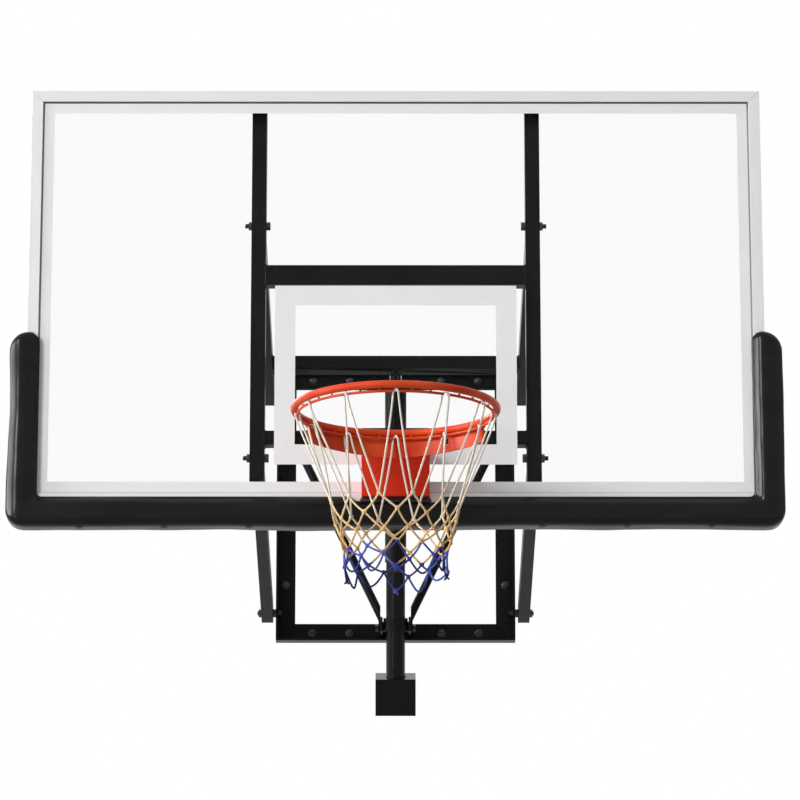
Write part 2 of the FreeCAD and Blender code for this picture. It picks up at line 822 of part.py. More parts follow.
def net():
    half = net_thickness / 2
    outer = Part.makeLoft([net_ring_wire(r + half, -z) for z, r in net_rows], True, True)
    inner = Part.makeLoft([net_ring_wire(r - half, -z) for z, r in net_rows], True, True)
    shell = outer.cut(inner)
    holes = []
    first, second = net_rows[0], net_rows[1]
    wide = first[1] * math.sin(math.radians(loop_angle / 2)) - net_loop_width / 2
    top_gap = [(-wide, net_thickness), (0, -second[0] + net_strand), (wide, net_thickness)]
    end, before = net_rows[-1], net_rows[-2]
    foot = before[1] * math.sin(math.radians(loop_angle / 2)) - net_strand
    end_gap = [(-foot, -end[0] - net_thickness), (0, -before[0] - net_strand),
               (foot, -end[0] - net_thickness)]
    for k in range(net_loops):
        at_loop = -90 + k * loop_angle
        holes.append(net_hole(top_gap, at_loop + loop_angle / 2))
        for row in range(len(net_rows) - 2):
            shape = diamond(*net_rows[row:row + 3])
            if row == 0:
                shape[0] = (0, -net_loop_height)
            holes.append(net_hole(shape, at_loop + (row % 2) * loop_angle / 2))
        last_row = len(net_rows) - 2
        holes.append(net_hole(end_gap, at_loop + (last_row % 2) * loop_angle / 2))
    shell = shell.cut(holes)
    shell.translate(V(0, ring_y, net_rod_z - net_rod_radius - weld_gap))
    return shell


# Screw jack, drawn upright with the trunnion at the origin, then tilted into place

def at_jack(shape):
    shape = shape.copy()
    shape.rotate(origin, along_x, jack_tilt)
    shape.translate(V(0, trunnion_y, trunnion_z))
    return shape


sleeve_bore = jack_tube_radius + sleeve_gap
sleeve_radius = sleeve_bore + sleeve_wall
sleeve_top = jack_rest_length - clevis_height
sleeve_roof = sleeve_top - sleeve_cap
sleeve_bottom = collar_half_height + sleeve_stop_gap + jack_travel
box_top = -box_drop
box_bottom = box_top - box_height
tube_top = sleeve_roof - jack_travel - sleeve_stop_gap
nut_top = sleeve_roof - push_tube_length
bearing_bottom = box_bottom + box_wall
bearing_top = bearing_bottom + bearing_height


def jack_tube():
    return tube_z(box_top - box_wall, tube_top, jack_tube_radius, jack_tube_radius - jack_tube_wall)


def jack_collar():
    collar = tube_z(-collar_half_height, collar_half_height, collar_radius, jack_tube_radius)
    for side in (-1, 1):
        inner = side * (jack_tube_radius + collar_wall / 2)
        outer = side * (ear_outside + pivot_clearance)
        collar = collar.fuse(rod_x(inner, outer, 0, 0, trunnion_radius))
    return collar.removeSplitter()


def box_outline(inset):
    """The drive box from the side: open in front, its roof rising to the back to shed rain."""
    front = -box_depth / 2 + box_cover
    back = box_depth / 2 - inset
    return [(front, box_bottom + inset), (back, box_bottom + inset),
            (back, box_top + box_roof_rise - inset), (front, box_top - inset)]


def drive_box():
    half_x = box_width / 2
    floor = V(0, 0, box_bottom + box_wall)
    box = prism_x(box_outline(0), -half_x, half_x)
    box = box.cut(prism_x(box_outline(box_wall), box_wall - half_x, half_x - box_wall))
    box = box.cut(rod(floor, V(0, 0, box_top + box_roof_rise), jack_tube_radius))
    return box.cut(rod(V(0, 0, box_bottom), floor, drive_hole_radius))


def drive_cover():
    half_x = box_width / 2
    half_y = box_depth / 2
    return block(-half_x, half_x, -half_y, -half_y + box_cover, box_bottom, box_top)


def thrust_bearing():
    return tube_z(bearing_bottom, bearing_top, bearing_radius, screw_radius + screw_clearance)


def lead_screw():
    screw = rod(V(0, 0, box_bottom), V(0, 0, nut_top + screw_tip), screw_radius)
    screw = screw.fuse(rod(V(0, 0, bearing_top), V(0, 0, bearing_top + shoulder_height), shoulder_radius))
    return screw.cut(hexagon(V(0, 0, box_bottom), along_z, drive_hex_size, drive_hex_depth))


def lift_nut():
    return tube_z(nut_top - lift_nut_length, nut_top, push_tube_radius, screw_radius + screw_clearance)


def push_tube():
    return tube_z(nut_top, sleeve_roof, push_tube_radius, push_tube_radius - push_tube_wall)


def jack_sleeve():
    sleeve = tube_z(sleeve_bottom, sleeve_roof, sleeve_radius, sleeve_bore)
    sleeve = sleeve.fuse(rod(V(0, 0, sleeve_roof), V(0, 0, sleeve_top), sleeve_radius))
    inside = lug_thickness / 2 + clevis_side_gap
    for side in (-1, 1):
        x0, x1 = sorted((side * inside, side * (inside + clevis_cheek)))
        cheek = block(x0, x1, -clevis_round, clevis_round, sleeve_top, jack_rest_length)
        sleeve = sleeve.fuse(cheek.fuse(rod_x(x0, x1, 0, jack_rest_length, clevis_round)))
    reach = inside + clevis_cheek
    return sleeve.cut(rod_x(-reach, reach, 0, jack_rest_length, clevis_pin_radius)).removeSplitter()


def clevis_pin():
    reach = lug_thickness / 2 + clevis_side_gap + clevis_cheek
    pin = rod_x(-reach, reach, 0, jack_rest_length, clevis_pin_radius)
    end = reach + clevis_pin_head_height
    for x0, x1 in ((-end, -reach), (reach, end)):
        pin = pin.fuse(rod_x(x0, x1, 0, jack_rest_length, clevis_pin_head))
    return pin.removeSplitter()


def main():
    os.makedirs("parts", exist_ok=True)
    save_pair("wall_leg", wall_leg())
    save("wall_top_rail", wall_rail())
    save("wall_bottom_rail", wall_rail().mirror(origin, along_z))
    save("jack_bracket", jack_bracket())
    save_pair("brace", brace())
    save("wall_pivot_bolts", wall_pivot_bolts())
    save("brace_bolts", brace_bolts())

    save_pair("upper_arm", at_arm(level_arm(), upper_wall_z))
    save_pair("lower_arm", at_arm(level_arm(), lower_wall_z))
    save("lift_tube", at_arm(lift_tube(), upper_wall_z))

    save_pair("upright", upright())
    save("upper_cross_bar", cross_bar(upper_bar_rise, upper_bar_height))
    save("lower_cross_bar", cross_bar(lower_bar_rise, lower_bar_height))
    save("board_pivot_bolts", board_pivot_bolts())

    middle_z = (board_bottom + board_top) / 2
    save("frame_bottom", frame_side(board_width, 0, 0, board_bottom))
    save("frame_top", frame_side(board_width, 180, 0, board_top))
    save("frame_right", frame_side(board_height, -90, board_half, middle_z))
    save("frame_left", frame_side(board_height, 90, -board_half, middle_z))
    save("glass_pane", glass_pane())
    save("glass_seal", glass_seal())
    save("border_stripe", border_stripe())
    save("target_stripe", target_stripe())
    save("edge_pad", edge_pad())

    save("ring_back_plate", ring_back_plate())
    save("ring_cushion", ring_cushion())
    save("ring_backing_plate", ring_backing_plate())
    save("ring_bolts", ring_bolts())
    save("ring_housing", ring_housing())
    save("spring_anchor", spring_anchor())
    save("ring_hinge_pin", ring_hinge_pin())
    save("return_springs", return_springs())

    save("ring", ring())
    save("ring_support", ring_support())
    save("net_rods", net_rods())
    save("net", net())

    save("jack_tube", at_jack(jack_tube()))
    save("jack_collar", at_jack(jack_collar()))
    save("drive_box", at_jack(drive_box()))
    save("drive_cover", at_jack(drive_cover()))
    save("thrust_bearing", at_jack(thrust_bearing()))
    save("lead_screw", at_jack(lead_screw()))
    save("lift_nut", at_jack(lift_nut()))
    save("push_tube", at_jack(push_tube()))
    save("jack_sleeve", at_jack(jack_sleeve()))
    save("clevis_pin", at_jack(clevis_pin()))


main()
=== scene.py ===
import bpy
import json
import math
import random
from mathutils import Matrix, Vector


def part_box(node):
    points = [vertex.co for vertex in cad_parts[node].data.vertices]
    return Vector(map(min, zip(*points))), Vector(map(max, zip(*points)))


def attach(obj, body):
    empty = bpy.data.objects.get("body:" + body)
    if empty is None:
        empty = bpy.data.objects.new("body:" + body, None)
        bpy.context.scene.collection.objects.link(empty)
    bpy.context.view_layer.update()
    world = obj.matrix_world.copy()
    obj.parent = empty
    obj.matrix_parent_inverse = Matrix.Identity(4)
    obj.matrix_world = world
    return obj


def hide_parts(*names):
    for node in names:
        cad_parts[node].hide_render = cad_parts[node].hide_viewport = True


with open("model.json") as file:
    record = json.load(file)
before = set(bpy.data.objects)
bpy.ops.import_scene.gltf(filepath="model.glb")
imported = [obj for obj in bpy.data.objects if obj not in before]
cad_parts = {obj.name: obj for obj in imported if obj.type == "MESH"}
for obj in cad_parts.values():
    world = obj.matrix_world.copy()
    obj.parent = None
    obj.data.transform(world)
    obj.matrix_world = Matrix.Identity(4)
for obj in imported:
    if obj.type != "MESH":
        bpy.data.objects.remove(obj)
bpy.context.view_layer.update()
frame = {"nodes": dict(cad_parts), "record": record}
nodes = frame["nodes"]
bodyOf = {node: body for body, members in frame["record"]["behaviour"]["bodies"].items() for node in members}
print("frame loaded:", len(nodes), "nodes")


class Flow:  # a socket that adds Math nodes when it stands in an expression
    def __init__(self, tree, socket):
        self.tree = tree
        self.socket = socket

    def maths(self, operation, first, second):
        node = self.tree.nodes.new("ShaderNodeMath")
        node.operation = operation
        for place, value in zip(node.inputs, (first, second)):
            if isinstance(value, Flow):
                self.tree.links.new(value.socket, place)
            else:
                place.default_value = value
        return Flow(self.tree, node.outputs[0])

    def __add__(self, other):
        return self.maths("ADD", self, other)

    def __sub__(self, other):
        return self.maths("SUBTRACT", self, other)

    def __rsub__(self, other):
        return self.maths("SUBTRACT", other, self)

    def __mul__(self, other):
        return self.maths("MULTIPLY", self, other)

    def __gt__(self, other):
        return self.maths("GREATER_THAN", self, other)

    def __lt__(self, other):
        return self.maths("LESS_THAN", self, other)

    __radd__ = __add__
    __rmul__ = __mul__


class Finish:  # one material, built from its Principled shader backwards
    def __init__(self, name):
        self.material = bpy.data.materials.new(name)
        self.material.use_nodes = True
        self.tree = self.material.node_tree
        self.shader = self.tree.nodes["Principled BSDF"]

    def feed(self, socket, value):
        if isinstance(value, Flow):
            self.tree.links.new(value.socket, socket)
        else:
            socket.default_value = value

    def node(self, kind, settings=None, sockets=None, output=0):
        made = self.tree.nodes.new("ShaderNode" + kind)
        for key, value in (settings or {}).items():
            if key == "stops":
                ramp = made.color_ramp
                for number, (place, colour) in enumerate(value):
                    stop = ramp.elements[number] if number < 2 else ramp.elements.new(place)
                    stop.position = place
                    stop.color = (*colour, 1)
            else:
                setattr(made, key, value)
        for key, value in (sockets or {}).items():
            self.feed(made.inputs[key], value)
        return Flow(self.tree, made.outputs[output])

    def noise(self, scale, detail=2.0, stretch=None):
        spot = self.node("TexCoord", output="Object")
        if stretch:
            spot = self.node("Mapping", sockets={"Vector": spot, "Scale": stretch})
        return self.node("TexNoise", sockets={"Vector": spot, "Scale": scale, "Detail": detail})

    def along(self, axis, space="Object"):
        spot = self.node("TexCoord", output=space)
        return self.node("SeparateXYZ", sockets={"Vector": spot}, output=axis)

    def blend(self, share, first, second):
        return self.node("Mix", {"data_type": "RGBA"}, {0: share, 6: first, 7: second}, 2)

    def ramp(self, share, stops):
        return self.node("ValToRGB", {"stops": stops}, {"Fac": share})

    def set(self, **sockets):
        for key, value in sockets.items():
            self.feed(self.shader.inputs[key.replace("_", " ")], value)

    def bump(self, height, strength, distance):
        relief = {"Height": height, "Strength": strength, "Distance": distance}
        self.set(Normal=self.node("Bump", sockets=relief))


# Finishes

def powderCoat(name, colour, wearAndShade, rough, gloss, shine):
    finish = Finish(name)
    grain = finish.noise(1400, 2)
    cloud = finish.noise(7, 3)
    dust = finish.noise(60, 4)
    share = finish.ramp(cloud * 0.7 + dust * 0.3, [(0.42, (0, 0, 0)), (0.72, (1, 1, 1))])
    facing = finish.node("LayerWeight", sockets={"Blend": 0.4}, output="Facing")
    finish.set(Base_Color=finish.blend(share, (*colour, 1), (*wearAndShade, 1)),
               Roughness=cloud * 0.16 + (rough - 0.08), Specular_IOR_Level=gloss,
               Coat_Weight=facing * facing * shine, Coat_Roughness=0.22)
    finish.bump(grain, 0.10, 0.0004)
    return finish.material


def satinAluminium(name, drawn):  # drawn: the streaks' scale on each axis, 1 along the bar
    finish = Finish(name)
    lines = finish.noise(9, 4, drawn)
    cloud = finish.noise(5, 3)
    tone = finish.blend(lines * 0.6 + cloud * 0.4, (0.66, 0.665, 0.67, 1), (0.80, 0.805, 0.81, 1))
    finish.set(Base_Color=tone, Metallic=0.2, Roughness=lines * 0.14 + 0.40)
    finish.bump(lines, 0.12, 0.0004)
    return finish.material


def blackenedBolts():
    finish = Finish("blackenedBolts")
    cloud = finish.noise(45, 3)
    tone = finish.blend(cloud, (0.030, 0.030, 0.032, 1), (0.075, 0.075, 0.077, 1))
    finish.set(Base_Color=tone, Metallic=0.85, Roughness=cloud * 0.2 + 0.16)
    return finish.material


def sealWithPaintedLightAndShade():  # grey down the sides; darker along the top, a painted shadow of the frame's lip; pale along the bottom, painted light that lifts the shade there
    finish = Finish("sealWithPaintedLightAndShade")
    grain = finish.noise(500, 2)
    low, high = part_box("glass_seal")
    share = (finish.along("Z") - low.z) * (1 / (high.z - low.z))
    # pale at the bottom is painted light and dark at the top is painted shadow; the grey between is the
    # seal's own colour
    tone = finish.ramp(share, [(0.02, (0.62, 0.62, 0.62)), (0.04, (0.24, 0.24, 0.245)),
                               (0.96, (0.24, 0.24, 0.245)), (0.98, (0.11, 0.11, 0.115))])
    finish.set(Base_Color=tone, Roughness=grain * 0.2 + 0.6, Specular_IOR_Level=0.25)
    return finish.material


def clearGlass():
    finish = Finish("clearGlass")
    cloud = finish.noise(2.5, 2)
    finish.set(Base_Color=(0.006, 0.014, 0.010, 1), Roughness=cloud * 0.02 + 0.02,
               Alpha=cloud * 0.008 + 0.020, Specular_IOR_Level=0.3)
    return finish.material


def whitePrint():
    finish = Finish("whitePrint")
    cloud = finish.noise(14, 3)
    grain = finish.noise(700, 1)
    finish.set(Base_Color=finish.blend(cloud, (0.77, 0.775, 0.785, 1), (0.83, 0.835, 0.84, 1)),
               Roughness=cloud * 0.1 + 0.3)
    finish.bump(grain, 0.04, 0.0002)
    return finish.material


def mouldedFoam():
    finish = Finish("mouldedFoam")
    leather = finish.node("TexVoronoi", {"feature": "DISTANCE_TO_EDGE"},
                          {"Vector": finish.node("TexCoord", output="Object"), "Scale": 420.0})
    cloud = finish.noise(9, 4)
    sheenStreaks = finish.noise(5, 4, (1, 6, 6))
    share = finish.ramp(sheenStreaks, [(0.46, (0, 0, 0)), (0.72, (1, 1, 1))])
    facing = finish.node("LayerWeight", sockets={"Blend": 0.4}, output="Facing")
    # the lighter base colour along the long streaks is painted sheen; the same streaks also vary the
    # roughness
    finish.set(Base_Color=finish.blend(share, (0.0018, 0.0018, 0.0020, 1), (0.0060, 0.0060, 0.0064, 1)),
               Roughness=cloud * 0.2 + sheenStreaks * 0.2 + 0.24, Specular_IOR_Level=0.04,
               Coat_Weight=facing * facing * 0.36 + 0.26, Coat_Roughness=0.20)
    finish.bump(leather, 0.25, 0.0006)
    return finish.material


def orangePaint(name, colour, wearAndShade):
    finish = Finish(name)
    peel = finish.noise(500, 2)
    cloud = finish.noise(11, 3)
    share = finish.ramp(cloud, [(0.35, (0, 0, 0)), (0.7, (1, 1, 1))])
    finish.set(Base_Color=finish.blend(share, (*colour, 1), (*wearAndShade, 1)),
               Roughness=cloud * 0.12 + 0.28, Specular_IOR_Level=0.13)
    finish.bump(peel, 0.06, 0.0004)
    return finish.material


def platedSteel():
    finish = Finish("platedSteel")
    cloud = finish.noise(40, 3)
    finish.set(Base_Color=finish.blend(cloud, (0.42, 0.42, 0.41, 1), (0.55, 0.55, 0.53, 1)), Metallic=1.0,
               Roughness=cloud * 0.2 + 0.25)
    return finish.material


def bronze():
    finish = Finish("bronze")
    cloud = finish.noise(60, 3)
    finish.set(Base_Color=finish.blend(cloud, (0.45, 0.30, 0.12, 1), (0.60, 0.42, 0.18, 1)), Metallic=1.0,
               Roughness=cloud * 0.2 + 0.3)
    return finish.material


def blackRubber():
    finish = Finish("blackRubber")
    grain = finish.noise(600, 2)
    finish.set(Base_Color=finish.blend(grain, (0.014, 0.014, 0.014, 1), (0.028, 0.028, 0.028, 1)),
               Roughness=grain * 0.2 + 0.6)
    return finish.material


finishes = {
    "black_steel": powderCoat("blackSteel", (0.0042, 0.0042, 0.0046), (0.0080, 0.0080, 0.0086),
                              rough=0.40, gloss=0.10, shine=0.2),
    "dark_bolts": blackenedBolts(),
    "silver_frame": satinAluminium("drawnAcross", (1, 60, 60)),
    "grey_seal": sealWithPaintedLightAndShade(),
    "clear_glass": clearGlass(),
    "white_print": whitePrint(),
    "black_pad": mouldedFoam(),
    "black_rubber": blackRubber(),
    "bright_steel": platedSteel(),
    "bronze_nut": bronze(),
    "orange_paint": orangePaint("orangePaint", (0.57, 0.033, 0.008), (0.70, 0.090, 0.020)),
}
glossFinish = powderCoat("glossBlack", (0.0040, 0.0040, 0.0044), (0.0065, 0.0065, 0.0070),
                         rough=0.24, gloss=0.13, shine=0.6)
# the housing and back plate get a redder, lighter copy of the ring's paint; the extra lightness is painted
# light, standing for the light on their front faces
litHousingPaint = orangePaint("redPaintLitCopy", (0.78, 0.030, 0.009), (0.88, 0.048, 0.014))
uprightFinish = satinAluminium("drawnUpright", (60, 60, 1))  # the frame's two sides, drawn the other way
slotOf = {row["node"]: row["material_slot"] for row in frame["record"]["subparts"]}
print("finishes made:", len(finishes))


# Small helpers for modelling by operator

modelling = {"mergeGap": 0.00002, "flatAngle": 0.4, "edgeAngle": 50, "outside": 3.0}


def clearSelection():
    if bpy.context.object and bpy.context.object.mode != "OBJECT":
        bpy.ops.object.mode_set(mode="OBJECT")
    bpy.ops.object.select_all(action="DESELECT")


def takeUp(piece):
    clearSelection()
    piece.select_set(True)
    bpy.context.view_layer.objects.active = piece


def applyModifier(piece, kind, **settings):
    takeUp(piece)
    modifier = piece.modifiers.new(kind.lower(), kind)
    for key, value in settings.items():
        setattr(modifier, key, value)
    bpy.ops.object.modifier_apply(modifier=modifier.name)


def smoothShade(piece, angle=35):
    takeUp(piece)
    bpy.ops.object.shade_smooth_by_angle(angle=math.radians(angle))


def dress(piece, slot, body, *replaced):
    piece.data.materials.clear()
    piece.data.materials.append(finishes[slot])
    if replaced:
        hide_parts(*replaced)
    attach(piece, body)
    return piece


def mergedCopy(node, name, flatten=True):
    piece = bpy.data.objects.new(name, nodes[node].data.copy())
    bpy.context.scene.collection.objects.link(piece)
    takeUp(piece)
    bpy.ops.mesh.customdata_custom_splitnormals_clear()
    bpy.ops.object.mode_set(mode="EDIT")
    bpy.ops.mesh.select_all(action="SELECT")
    bpy.ops.mesh.remove_doubles(threshold=modelling["mergeGap"])
    if flatten:
        bpy.ops.mesh.dissolve_limited(angle_limit=math.radians(modelling["flatAngle"]))
    bpy.ops.object.mode_set(mode="OBJECT")
    return piece


def eased(node, width):  # a rigid node with its edges eased, as rolled or pressed metal has them
    piece = mergedCopy(node, node + "_eased", node != "ring_support")
    applyModifier(piece, "BEVEL", width=width, segments=2, limit_method="ANGLE",
                  angle_limit=math.radians(modelling["edgeAngle"]))
    smoothShade(piece)
    applyModifier(piece, "WEIGHTED_NORMAL", keep_sharp=True, weight=100)
    return dress(piece, slotOf[node], bodyOf[node], node)


edgeEase = {
    "frame_bottom": 0.0012, "frame_top": 0.0012, "frame_left": 0.0012, "frame_right": 0.0012,
    "left_upright": 0.0010, "right_upright": 0.0010, "upper_cross_bar": 0.0022, "lower_cross_bar": 0.0022,
    "left_upper_arm": 0.0014, "right_upper_arm": 0.0014, "left_lower_arm": 0.0014, "right_lower_arm": 0.0014,
    "lift_tube": 0.0014, "left_wall_leg": 0.0014, "right_wall_leg": 0.0014,
    "wall_top_rail": 0.0014, "wall_bottom_rail": 0.0014, "jack_bracket": 0.0010,
    "left_brace": 0.0008, "right_brace": 0.0008, "drive_box": 0.0020, "drive_cover": 0.0008,
    "jack_tube": 0.0008, "jack_sleeve": 0.0008, "jack_collar": 0.0012,
    "ring_back_plate": 0.0012, "ring_housing": 0.0010, "ring_support": 0.0009,
    "wall_pivot_bolts": 0.0008, "board_pivot_bolts": 0.0008, "brace_bolts": 0.0008, "ring_bolts": 0.0008,
}
ownFinish = {"frame_left": uprightFinish, "frame_right": uprightFinish, "jack_tube": glossFinish,
             "drive_box": glossFinish, "ring_housing": litHousingPaint, "ring_back_plate": litHousingPaint}
for node, width in edgeEase.items():
    piece = eased(node, width)
    if node in ownFinish:
        piece.data.materials[0] = ownFinish[node]
print("edges eased:", len(edgeEase), "nodes")

for node, shown in nodes.items():
    if not shown.hide_render and slotOf[node] in finishes:
        shown.data.materials.clear()
        shown.data.materials.append(finishes[slotOf[node]])

# Net: twelve cords, each hooked over a net rod and knotted to its neighbours down to the lowest loops

netCords = {"loops": 12, "cord": 0.0024, "grip": 0.006, "seed": 11,
            "rodRadius": 0.003, "rodGap": 0.0002, "hookTurn": 120, "hookStep": 20,
            "rowDepths": (0.216, 0.255, 0.292, 0.326, 0.357, 0.386),
            "rowRadii": (0.152, 0.141, 0.131, 0.123, 0.119, 0.117),
            "looseTurn": 2.2, "looseDrop": 0.006, "looseRadius": 0.004, "looseFirst": 0.5, "looseMore": 0.25,
            "legSteps": 12, "legBow": (0.002, 0.010), "legFlare": 1.22, "rowSteps": 6, "rowSag": 0.0018,
            "rowFall": 1.2, "tiedEvery": 3,
            "tail": 0.010, "tailShares": (0.4, 1.0), "tailBends": ((0.002, 0.6), (0.003, 0.4)),
            "knotSize": (0.0021, 0.0026), "knotCord": 0.86, "knotSteps": 22,
            "knotTight": 1.6, "knotWidth": 0.95, "knotDepth": 0.8,
            "twists": 150, "strands": 3, "dyedShare": 0.185}


def netFinish():
    finish = Finish("knottedCord")
    patch = finish.noise(38, 3)
    fade = finish.noise(11, 2)
    fluff = finish.noise(900, 3)
    turns = finish.along("Y", "UV") * netCords["twists"] + finish.along("X", "UV")
    phase = turns * (2 * math.pi * netCords["strands"])
    lay = finish.node("Math", {"operation": "SINE"}, {0: phase}) * 0.5 + 0.5
    share = (finish.along("Z") - netPlace["bottom"]) * (1 / netPlace["drop"]) + (patch - 0.5) * 0.14
    natural = finish.ramp(share, [(0.20, (0.80, 0.50, 0.20)), (0.36, (0.90, 0.64, 0.33)),
                                  (0.48, (0.95, 0.82, 0.61)), (0.62, (0.96, 0.90, 0.80))])
    dye = finish.ramp(fade, [(0.40, (0.022, 0.026, 0.16)), (0.60, (0.105, 0.150, 0.60))])
    colour = finish.blend(share < netCords["dyedShare"], natural, dye)
    # darker in the grooves between the twisted strands: painted shade; the fluff part is random fibre tone
    wearAndShade = finish.node("Mix", {"data_type": "RGBA", "blend_type": "MULTIPLY"},
                       {0: (1 - lay) * 0.35 + fluff * 0.2, 6: colour, 7: (0.60, 0.55, 0.48, 1)}, 2)
    finish.set(Base_Color=wearAndShade, Roughness=fluff * 0.15 + 0.78, Specular_IOR_Level=0.2)
    finish.bump(lay * 0.7 + fluff * 0.3, 0.6, 0.0007)
    return finish.material


rodsLow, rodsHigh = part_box("net_rods")
netPlace = {"axis": (rodsLow.y + rodsHigh.y) / 2, "top": rodsLow.z,
            "rods": (rodsHigh.x - rodsLow.x) / 2 - netCords["rodRadius"],
            "rodHeight": rodsLow.z + netCords["rodRadius"],
            "drop": netCords["rowDepths"][-1] + netCords["tail"]}
netPlace["bottom"] = netPlace["top"] - netPlace["drop"]
finishes["net_cord"] = netFinish()


def netPoint(angle, radius, height):
    return Vector((radius * math.cos(angle), netPlace["axis"] + radius * math.sin(angle), height))


def looseKnots():  # where each row's knots lie, a little out of true as a used net is
    dice = random.Random(netCords["seed"])
    knots = {}
    for row, (depth, radius) in enumerate(zip(netCords["rowDepths"], netCords["rowRadii"])):
        for step in range(netCords["loops"]):
            angle = -90 + (step + 0.5 * ((row + 1) % 2)) * 360 / netCords["loops"]
            loose = netCords["looseFirst"] + row * netCords["looseMore"]
            angle += dice.uniform(-1, 1) * netCords["looseTurn"] * loose
            height = netPlace["top"] - depth + dice.uniform(-1, 1) * netCords["looseDrop"] * loose
            reach = radius + dice.uniform(-1, 1) * netCords["looseRadius"] * loose
            knots[row, step] = netPoint(math.radians(angle), reach, height)
    return knots


def tied(row, step):  # every crossing has a knot, and of the lowest loops a few, where cord ends are tied off
    return row < len(netCords["rowDepths"]) - 1 or step % netCords["tiedEvery"] == 0


def legPath(loop, side, knots):  # from the rod down one leg of a loop and on through the knots to the bottom
    middle = math.radians(-90 + loop * 360 / netCords["loops"])
    clear = netCords["rodRadius"] + netCords["cord"] + netCords["rodGap"]
    sideways = side * netCords["grip"] / netPlace["rods"]
    path = []
    hookTurn = netCords["hookTurn"]
    for lean in range(0, hookTurn + 1, netCords["hookStep"]):  # one leg goes down outside the rod, one inside
        turn = math.radians(90 - side * lean)
        path.append(netPoint(middle + sideways * lean / hookTurn, netPlace["rods"] + clear * math.cos(turn),
                             netPlace["rodHeight"] + clear * math.sin(turn)))
    start = path[-1]
    first = loop if side > 0 else (loop - 1) % netCords["loops"]
    end = knots[0, first]
    inward = (Vector((0, netPlace["axis"], 0)) - Vector((start.x, start.y, 0))).normalized()
    dice = random.Random(100 * loop + side)
    bow = dice.uniform(*netCords["legBow"])
    for step in range(1, netCords["legSteps"] + 1):
        share = step / netCords["legSteps"]
        point = start.lerp(end, share ** netCords["legFlare"])
        point.z = start.z + (end.z - start.z) * share
        path.append(point + inward * bow * math.sin(math.pi * share))
    step = first
    lastRow = len(netCords["rowDepths"]) - 1
    for row in range(1, lastRow + 1):
        if row % 2 == 1 and side > 0:
            step = (step + 1) % netCords["loops"]
        if row % 2 == 0 and side < 0:
            step = (step - 1) % netCords["loops"]
        last = path[-1]
        end = knots[row, step]
        sway = Vector((dice.uniform(-1, 1), dice.uniform(-1, 1), -netCords["rowFall"])) * netCords["rowSag"]
        for part in range(1, netCords["rowSteps"] + 1):
            share = part / netCords["rowSteps"]
            point = last.lerp(end, share) + sway * math.sin(math.pi * share)
            if row == lastRow and not tied(row, step):  # the lowest loops hang round
                point.z = last.z + (end.z - last.z) * math.sin(math.pi / 2 * share)
            path.append(point)
    if tied(lastRow, step):
        fall = netCords["tail"] * dice.uniform(*netCords["tailShares"])
        for stray, share in netCords["tailBends"]:
            path.append(path[-1] + Vector((side * stray, dice.uniform(-stray, stray), -fall * share)))
    return path


def cordCurve(name, paths, thickness, closed=False, ripple=0.0):
    route = bpy.data.curves.new(name, "CURVE")
    route.dimensions = "3D"
    route.bevel_depth = thickness
    route.bevel_resolution = 2
    route.use_fill_caps = True
    for path in paths:
        line = route.splines.new("POLY")
        line.points.add(len(path) - 1)
        for number, (point, place) in enumerate(zip(line.points, path)):
            point.co = (*place, 1)
            point.radius = 1 - ripple * (number % 2)
        line.use_cyclic_u = closed
    cord = bpy.data.objects.new(name, route)
    bpy.context.scene.collection.objects.link(cord)
    takeUp(cord)
    bpy.ops.object.convert(target="MESH")
    bpy.ops.object.shade_smooth()
    return cord


def knotPath(place, dice):  # a small hitch: a three-lobed loop drawn tight about the crossing
    outward = Vector((place.x, place.y - netPlace["axis"], 0)).normalized()
    across = Vector((-outward.y, outward.x, 0))
    spin = dice.uniform(0, 2 * math.pi)
    size = dice.uniform(*netCords["knotSize"])
    path = []
    for step in range(netCords["knotSteps"]):
        turn = 2 * math.pi * step / netCords["knotSteps"]
        swing = (2 + math.cos(3 * turn)) * size / netCords["knotTight"]
        wide = across * swing * math.cos(2 * turn + spin)
        tall = Vector((0, 0, 1)) * swing * math.sin(2 * turn + spin)
        deep = outward * math.sin(3 * turn) * size * netCords["knotDepth"]
        path.append(place + (wide + tall) * netCords["knotWidth"] + deep)
    return path


def knottedNet():
    knots = looseKnots()
    cords = []
    for loop in range(netCords["loops"]):
        right = legPath(loop, 1, knots)
        left = legPath(loop, -1, knots)
        cords.append(left[:0:-1] + right)
    net = cordCurve("net_cords", cords, netCords["cord"])
    dice = random.Random(netCords["seed"] + 1)
    hitches = [knotPath(place, dice) for (row, step), place in knots.items() if tied(row, step)]
    ties = cordCurve("net_knots", hitches, netCords["cord"] * netCords["knotCord"], True)
    takeUp(net)
    ties.select_set(True)
    bpy.ops.object.join()
    dress(net, "net_cord", "ring_swing", "net")
    print("net knotted:", len(hitches), "knots")


knottedNet()

# Edge pad: the moulded foam bumper, softened all over and a little uneven along its length

edgePad = {"overlap": 0.034, "lip": 0.019, "chamfer": 0.021, "slope": 1.10, "rim": 0.024, "rimSlope": 0.66,
           "voxel": 0.005, "rounding": 9, "settling": 4, "ripple": 0.012, "rippleLength": 0.30,
           "skin": 0.006, "fill": 0.9}


